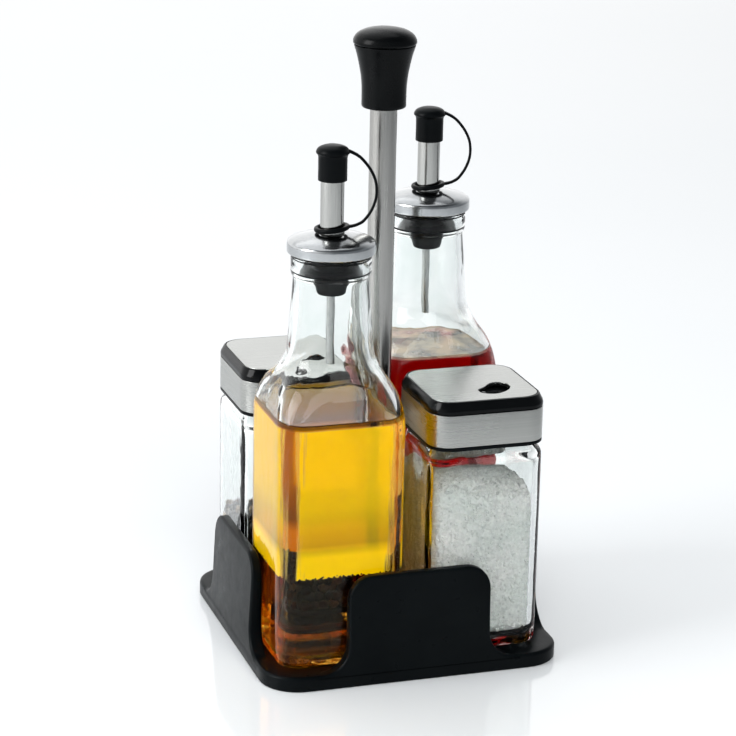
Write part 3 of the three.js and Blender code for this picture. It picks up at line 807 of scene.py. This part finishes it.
def jar_profiles():
    outer = soften([(0, 7.2, 0), (13, 7.1, 7, 1.0), (17.2, 6.3, 6.5, 0.8), (24.3, 6.3, 8, 3.2), (24.3, 40, 8)], 8)
    outer = divide(outer[:-1] + [np.array((24.3, 84.0, 8.0))], 4)
    outer += soften([(24.3, 84.0, 8), (24.3, 90.6, 8.4, 2.6), (20.0, 92.5, 20.0, 1.2), (20.0, 103.6, 20.0, 0.6), (18.0, 103.6, 18)], 8)[1:]
    inner = soften([(0, 9.4, 0), (15.5, 9.4, 4, 1.5), (21.4, 9.7, 5.1, 6.0), (21.4, 40, 5.1)], 8)
    inner = divide(inner[:-1] + [np.array((21.4, 82.0, 5.1))], 4)
    inner += soften([(21.4, 82.0, 5.1), (21.3, 87.2, 5.6, 2.5), (17.3, 91.2, 17.3, 1.5), (17.3, 103.6, 17.3, 0.4), (18.0, 103.6, 18)], 8)[1:-1]
    return outer, inner


def make_shaker(prefix, seed):
    cx, cy = centre(f"{prefix}_jar")
    outer, inner = jar_profiles()
    rings = rings_of(outer, cx, cy, 128, (0.05, 15, seed))
    rings_in = rings_of(inner, cx, cy, 128, (0.14, 12, seed + 3))
    ob = mesh_object(f"{prefix}_glass_jar", *skin_data(rings + rings_in[::-1]), 50)
    finish_piece(ob, "glass", f"{prefix}_shaker", [f"{prefix}_jar"])

    lid = f"{prefix}_lid"
    core = square_piece(f"{prefix}_lid_core", soften([
        (20.6, 93.2, 20.6, 0.3), (24.5, 93.2, 9.0, 0.45), (24.5, 94.6, 9.0, 0.25), (23.75, 94.6, 8.3), (23.75, 108.2, 8.3, 0.3), (16.0, 108.2, 16.0),
        (2.4, 108.2, 2.4), (2.4, 111.3, 2.4, 0.3), (0, 111.3, 0)], 4)
        , cx, cy, 112, False, 35)
    # closed underneath: cavity over the jar's neck, with the deck above it
    bpy.data.objects.remove(core)
    prof = soften([
        (0, 105.5, 0), (20.6, 105.5, 20.6, 0.3), (20.6, 93.2, 20.6, 0.3), (24.5, 93.2, 9.0, 0.45), (24.5, 94.6, 9.0, 0.25), (23.75, 94.6, 8.3),
        (23.75, 108.2, 8.3, 0.3), (16.0, 108.2, 16.0), (2.4, 108.2, 2.4), (2.4, 111.3, 2.4, 0.3), (0, 111.3, 0)], 4)
    core = square_piece(f"{prefix}_lid_core", prof, cx, cy, 112, False, 35)
    drills = []
    for i, (a, b) in enumerate(SIEVE):
        drills.append(turned(f"{prefix}_drill{i}", [(0, 104.5), (1.15, 104.5), (1.15, 107.4), (1.75, 109.2), (0, 109.2)], cx + a, cy + b, 24, False, 40, 1))
    core = cut(core, drills)
    finish_piece(core, "black", lid, [f"{prefix}_lid_body"])

    band = square_piece(f"{prefix}_steel_band", soften([
        (24.05, 94.85, 8.6), (24.5, 94.85, 9.0, 0.12), (24.5, 100, 9.0), (24.5, 108.25, 9.0, 0.12), (24.05, 108.25, 8.6), (24.05, 100, 8.6)], 3, True), cx, cy, 128, True, 50)
    finish_piece(band, "band", lid, [f"{prefix}_lid_band"])

    bezel = square_piece(f"{prefix}_bezel", soften([
        (20.0, 108.55, 8), (24.5, 108.55, 9.0, 0.3), (24.5, 110.3, 9.0, 0.9), (23.15, 113.35, 8.9, 0.5), (22.6, 113.35, 8.5, 0.15), (22.6, 111.6, 8.5),
        (20.0, 111.6, 8)], 6, True), cx, cy, 128, True, 40)
    finish_piece(bezel, "gloss", lid, [f"{prefix}_lid_bezel"])

    hole = [(cx + a, cy + b) for a, b in smooth_loop(OPENING, 4)]
    edge = [(cx + x, cy + y) for x, y in outline(22.35, 8.3, 160)]
    plate = sheet_cut(f"{prefix}_top_plate", [edge, hole], 111.9, 113.5, 0.28)
    finish_piece(plate, "plate", lid, [f"{prefix}_lid_plate"])

    # dial: a flat disc with a bevelled window, and the nub that turns it
    disc = sheet_cut(f"{prefix}_dial_disc", [circle(cx, cy, 17, 96), circle(cx, cy, 2.8, 32), circle(cx + 8.2, cy - 7.8, 5.0, 48)], 108.6, 110.3, 0.45, 3)
    nub_pts = []
    for i in range(24):
        f = 2 * math.pi * i / 24
        c, s = math.cos(f), math.sin(f)
        nub_pts.append((0.95 * math.copysign(abs(c) ** 0.5, c), 1.6 * math.copysign(abs(s) ** 0.5, s)))
    t = math.radians(4.5)
    rings = []
    for z, sc in ((109.4, 1.25), (110.2, 1.2), (110.9, 1.02), (112.6, 0.96), (113.0, 0.8), (113.15, 0.5)):
        rings.append([(cx + 0.9 + (u * math.cos(t) - w * math.sin(t)) * sc, cy - 11.56 + (u * math.sin(t) + w * math.cos(t)) * sc, z) for u, w in nub_pts])
    rings = [[(cx + 0.9, cy - 11.56, 109.4)]] + rings + [[(cx + 0.9, cy - 11.56, 113.15)]]
    nub = mesh_object(f"{prefix}_nub", *skin_data(rings), 50)
    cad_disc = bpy.data.meshes.new(f"{prefix}_rotary_dial")
    vs = [v.co / MM for v in disc.data.vertices]
    fs = [tuple(p.vertices) for p in disc.data.polygons]
    vn = [v.co / MM for v in nub.data.vertices]
    fn = [tuple(p.vertices) for p in nub.data.polygons]
    bpy.data.meshes.remove(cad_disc)
    for o in (disc, nub):
        bpy.data.objects.remove(o)
    dial = mesh_object(f"{prefix}_rotary_dial", *join_data([(vs, fs), (vn, fn)]), 40)
    finish_piece(dial, "dial", f"{prefix}_dial_body", [f"{prefix}_dial"])
    repaint(f"{prefix}_lid_gasket", "seal")
    return cx, cy


SALT_AT = make_shaker("salt", 11.0)
PEPPER_AT = make_shaker("pepper", 47.0)


def salt_top(x, y):
    """Height of the salt over a point of the jar, in millimetres from its axis."""
    h = 75.5 - 0.13 * x + 0.045 * y
    d = math.hypot((x + 3) / 21, (y - 1) / 21)
    h += 4.6 * max(0.0, 1 - d * d)
    edge = max(abs(x), abs(y)) + 0.45 * max(0.0, min(abs(x), abs(y)) - 15)
    h -= 2.6 * max(0.0, (edge - 16.5) / 4.3) ** 2
    h += 1.5 * noise.noise(Vector((x / 5.5, y / 5.5, 3.1))) + 1.1 * noise.noise(Vector((x / 2.0, y / 2.0, 8.1)))
    return h


def crystal(p, size, r):
    """A slightly broken cube."""
    u = Vector((r.gauss(0, 1), r.gauss(0, 1), r.gauss(0, 1))).normalized()
    rot = Matrix.Rotation(r.uniform(0, math.pi), 3, u)
    sx, sy, sz = (size * r.uniform(0.75, 1.2) for _ in range(3))
    out = []
    for z in (-1, 1):
        for x, y in ((-1, -1), (1, -1), (1, 1), (-1, 1)):
            v = rot @ Vector((x * sx * r.uniform(0.75, 1), y * sy * r.uniform(0.75, 1), z * sz * r.uniform(0.75, 1)))
            out.append((p[0] + v.x, p[1] + v.y, p[2] + v.z))
    return out, [(3, 2, 1, 0), (4, 5, 6, 7), (0, 1, 5, 4), (1, 2, 6, 5), (2, 3, 7, 6), (3, 0, 4, 7)]


def make_salt():
    cx, cy = SALT_AT
    n = 176
    s_w, k_w = 20.75, 4.6
    rings = [[(cx, cy, 9.75)]]
    for s, z in ((14.6, 9.8), (17.2, 10.5), (19.3, 12.0)):
        rings.append([(cx + x, cy + y, z) for x, y in outline(s, min(k_w, s), n)])
    base = outline(s_w, k_w, n)
    levels = np.linspace(0, 1, 62)
    for t in levels:
        ring = []
        for i, (x, y) in enumerate(base):
            z = 14.6 + (salt_top(x, y) - 14.6) * t
            w = noise.cell(Vector((x * 0.95, y * 0.95, z * 0.95))) * 0.42 + 0.4 * noise.noise(Vector((x * 0.55, y * 0.55, z * 0.55)))
            f = 1 - w / math.hypot(x, y)
            ring.append((cx + x * f, cy + y * f, z))
        rings.append(ring)
    for f in np.linspace(0.97, 0.03, 34):
        rings.append([(cx + x * f, cy + y * f, salt_top(x * f, y * f) + 0.22 * noise.cell(Vector((x * f * 1.1, y * f * 1.1, 1.5)))) for x, y in base])
    rings.append([(cx, cy, salt_top(0, 0))])
    parts = [skin_data(rings)]
    colours = [min(1.0, 0.95 + 0.08 * noise.cell(Vector((x * 0.95, y * 0.95, z * 0.95)))) for x, y, z in parts[0][0]]
    r = random.Random(21)
    for _ in range(5600):
        # on the walls, following the rounded square
        ang = r.uniform(0, 2 * math.pi)
        xy = outline_at(ang, s_w - r.uniform(-0.05, 0.35), k_w)
        top = salt_top(*xy)
        z = r.uniform(13.2, top)
        parts.append(crystal((cx + xy[0], cy + xy[1], z), r.uniform(0.3, 0.6), r))
        colours.extend([r.choice((1.0, 1.0, 0.98, 0.95, 0.9, 0.84))] * 8)
    for _ in range(3000):
        x, y = r.uniform(-20.4, 20.4), r.uniform(-20.4, 20.4)
        if math.hypot(max(0, abs(x) - 16), max(0, abs(y) - 16)) > 4.4:
            continue
        parts.append(crystal((cx + x, cy + y, salt_top(x, y) + r.uniform(0, 0.5)), r.uniform(0.45, 0.9), r))
        colours.extend([r.choice((1.0, 1.0, 0.97, 0.92, 0.86, 0.78))] * 8)
    ob = mesh_object("salt_heap", *join_data(parts), 25)
    at = ob.data.color_attributes.new("tone", "FLOAT_COLOR", "POINT")
    at.data.foreach_set("color", np.array([(c, c * 0.997, c * 0.982, 1.0) for c in colours], np.float32).ravel())
    finish_piece(ob, "salt", "salt_shaker", ["salt_fill"])


def outline_at(phi, s, k):
    c, q = abs(math.cos(phi)), abs(math.sin(phi))
    a, b = max(c, q), min(c, q)
    core = s - k
    if b * s <= core * a + 1e-9:
        r = s / a
    else:
        dot = core * (a + b)
        r = dot + math.sqrt(max(0, dot * dot - 2 * core * core + k * k))
    return r * math.cos(phi), r * math.sin(phi)


make_salt()

TONES = [((0.014, 0.010, 0.008), 6), ((0.040, 0.028, 0.019), 4), ((0.10, 0.08, 0.062), 3), ((0.34, 0.26, 0.17), 2),
         ((0.17, 0.15, 0.125), 2), ((0.06, 0.018, 0.012), 1)]


def make_pepper():
    cx, cy = PEPPER_AT
    r = random.Random(5)
    tones = [t for t, w in TONES for _ in range(w)]
    parts, colours = [], []

    def corn(x, y, z, size):
        n, m = 12, 7
        e = Vector((r.uniform(0, 50), r.uniform(0, 50), r.uniform(0, 50)))
        rot = Matrix.Rotation(r.uniform(0, math.pi), 3, Vector((r.gauss(0, 1), r.gauss(0, 1), r.gauss(0, 1))).normalized())
        rings = []
        for i in range(m + 2):
            lat = math.pi * i / (m + 1) - math.pi / 2
            cnt = 1 if i in (0, m + 1) else n
            ring = []
            for j in range(cnt):
                lon = 2 * math.pi * j / n
                d = Vector((math.cos(lat) * math.cos(lon), math.cos(lat) * math.sin(lon), math.sin(lat)))
                w = size * (1 + 0.13 * noise.noise(d * 2.6 + e))
                v = rot @ (d * w)
                ring.append((cx + x + v.x, cy + y + v.y, z + v.z))
            rings.append(ring)
        v, f = skin_data(rings)
        parts.append((v, f))
        colours.extend([r.choice(tones)] * len(v))

    # a dark core, partly the hidden peppercorns and partly painted shade between them, so that nothing shows between
    # the outer peppercorns
    core = [(0, 13.5, 0), (15.5, 13.5, 4), (17.2, 15.5, 4), (17.2, 39.0, 4), (14, 41.0, 4), (0, 41.5, 0)]
    v, f = skin_data(rings_of([np.array(c, float) for c in core], cx, cy, 48))
    parts.append((v, f))
    colours.extend([(0.02, 0.015, 0.012)] * len(v))
    step = 4.3
    z, layer = 13.7, 0
    while z < 43.5:
        s = 18.95
        per = 4 * (2 * (s - 2.6)) + 2 * math.pi * 2.6
        count = int(per / step)
        for i in range(count):
            a = 2 * math.pi * (i + 0.5 * (layer % 2) + r.uniform(-0.12, 0.12)) / count
            x, y = outline_at(a, s + r.uniform(-0.45, 0.0), 2.7)
            corn(x, y, z + r.uniform(-0.5, 0.5), r.uniform(1.95, 2.4))
        z += 3.75
        layer += 1
    for zz, jitter in ((40.6, 0.5), (43.9, 0.9)):
        for i in range(-4, 5):
            for j in range(-4, 5):
                x, y = i * 4.35 + (0.5 * 4.35 if j % 2 else 0) - 1, j * 4.0
                x += r.uniform(-0.7, 0.7)
                y += r.uniform(-0.7, 0.7)
                if max(abs(x), abs(y)) > 18.6 or (abs(x) > 15.8 and abs(y) > 15.8 and math.hypot(abs(x) - 15.8, abs(y) - 15.8) > 2.6):
                    continue
                corn(x, y, zz + r.uniform(-jitter, jitter) - 0.004 * (x * x + y * y), r.uniform(1.95, 2.45))
    verts, faces = join_data(parts)
    ob = mesh_object("peppercorns", verts, faces, 70)
    at = ob.data.color_attributes.new("tone", "FLOAT_COLOR", "POINT")
    at.data.foreach_set("color", np.array([(*c, 1.0) for c in colours], np.float32).ravel())
    finish_piece(ob, "pepper", "pepper_shaker", ["pepper_fill"])


make_pepper()


# ------------------------------------------------------------ floor, lights
def make_floor():
    me = bpy.data.meshes.new("floor")
    me.from_pydata([(-9, -9, -0.0002), (9, -9, -0.0002), (9, 9, -0.0002), (-9, 9, -0.0002)], [], [(0, 1, 2, 3)])
    ob = bpy.data.objects.new("floor", me)
    scene.collection.objects.link(ob)
    mat, nt, b, _ = new_material("floor_white")
    v = coords(nt)
    nt.links.new(ramp(nt, noise_tex(nt, v, 2.0, 2), [(0.3, (0.70, 0.722, 0.74)), (0.7, (0.72, 0.737, 0.752))]), b.inputs["Base Color"])
    nt.links.new(spread(nt, noise_tex(nt, v, 6.0, 3), 0.06, 0.09), b.inputs["Roughness"])
    b.inputs["Specular IOR Level"].default_value = 0.5
    me.materials.append(mat)


def make_world():
    w = bpy.data.worlds.new("studio")
    scene.world = w
    w.use_nodes = True
    nt = w.node_tree
    nt.nodes.clear()
    out = nt.nodes.new("ShaderNodeOutputWorld")
    bg = nt.nodes.new("ShaderNodeBackground")
    nt.links.new(bg.outputs[0], out.inputs[0])
    tc = nt.nodes.new("ShaderNodeTexCoord")
    dot = nt.nodes.new("ShaderNodeVectorMath")
    dot.operation = "DOT_PRODUCT"
    d = Vector((-0.62, 0.75, 0.05)).normalized()
    dot.inputs[1].default_value = d
    nt.links.new(tc.outputs["Generated"], dot.inputs[0])
    m = nt.nodes.new("ShaderNodeMapRange")
    m.inputs["From Min"].default_value = -0.6
    m.inputs["From Max"].default_value = 0.55
    nt.links.new(dot.outputs["Value"], m.inputs["Value"])
    side = ramp(nt, m.outputs[0], [(0.0, (0.28, 0.295, 0.31)), (1.0, (1.25, 1.25, 1.25))])
    sep = nt.nodes.new("ShaderNodeSeparateXYZ")
    nt.links.new(tc.outputs["Generated"], sep.inputs[0])
    high = ramp(nt, sep.outputs["Z"], [(0.0, (1.0, 1.0, 1.0)), (0.45, (1.0, 1.0, 1.0)), (0.72, (0.3, 0.31, 0.32)), (1.0, (0.22, 0.23, 0.24))])
    mul = nt.nodes.new("ShaderNodeMix")
    mul.data_type = "RGBA"
    mul.blend_type = "MULTIPLY"
    mul.inputs["Factor"].default_value = 1.0
    nt.links.new(side, mul.inputs["A"])
    nt.links.new(high, mul.inputs["B"])
    nt.links.new(mul.outputs["Result"], bg.inputs["Color"])
    bg.inputs["Strength"].default_value = 1.0


def area(name, pos, target, size, energy, colour=(1, 1, 1), size_y=None, glossy=True):
    l = bpy.data.lights.new(name, "AREA")
    l.energy = energy
    l.color = colour
    l.size = size
    if size_y:
        l.shape = "RECTANGLE"
        l.size_y = size_y
    ob = bpy.data.objects.new(name, l)
    scene.collection.objects.link(ob)
    p, t = Vector(pos), Vector(target)
    ob.location = p
    ob.rotation_euler = (t - p).to_track_quat("-Z", "Y").to_euler()
    ob.visible_camera = False
    ob.visible_glossy = glossy
    return ob


make_floor()
make_world()
area("key_left", (-1.3, -0.1, 0.8), (0, 0, 0.12), 0.7, 12, (1, 1, 1), 1.0)
area("top", (-0.3, 1.3, 2.4), (0, 0.6, 0.0), 2.6, 18)
area("fill", (-0.05, -1.45, 1.15), (0, 0.1, 0.05), 1.5, 25, (1, 1, 0.985), 1.2, False)

scene.view_settings.view_transform = "Standard"
scene.view_settings.look = "Medium High Contrast"
scene.cycles.max_bounces = 24
scene.cycles.transmission_bounces = 24
scene.cycles.glossy_bounces = 8
scene.cycles.transparent_max_bounces = 16
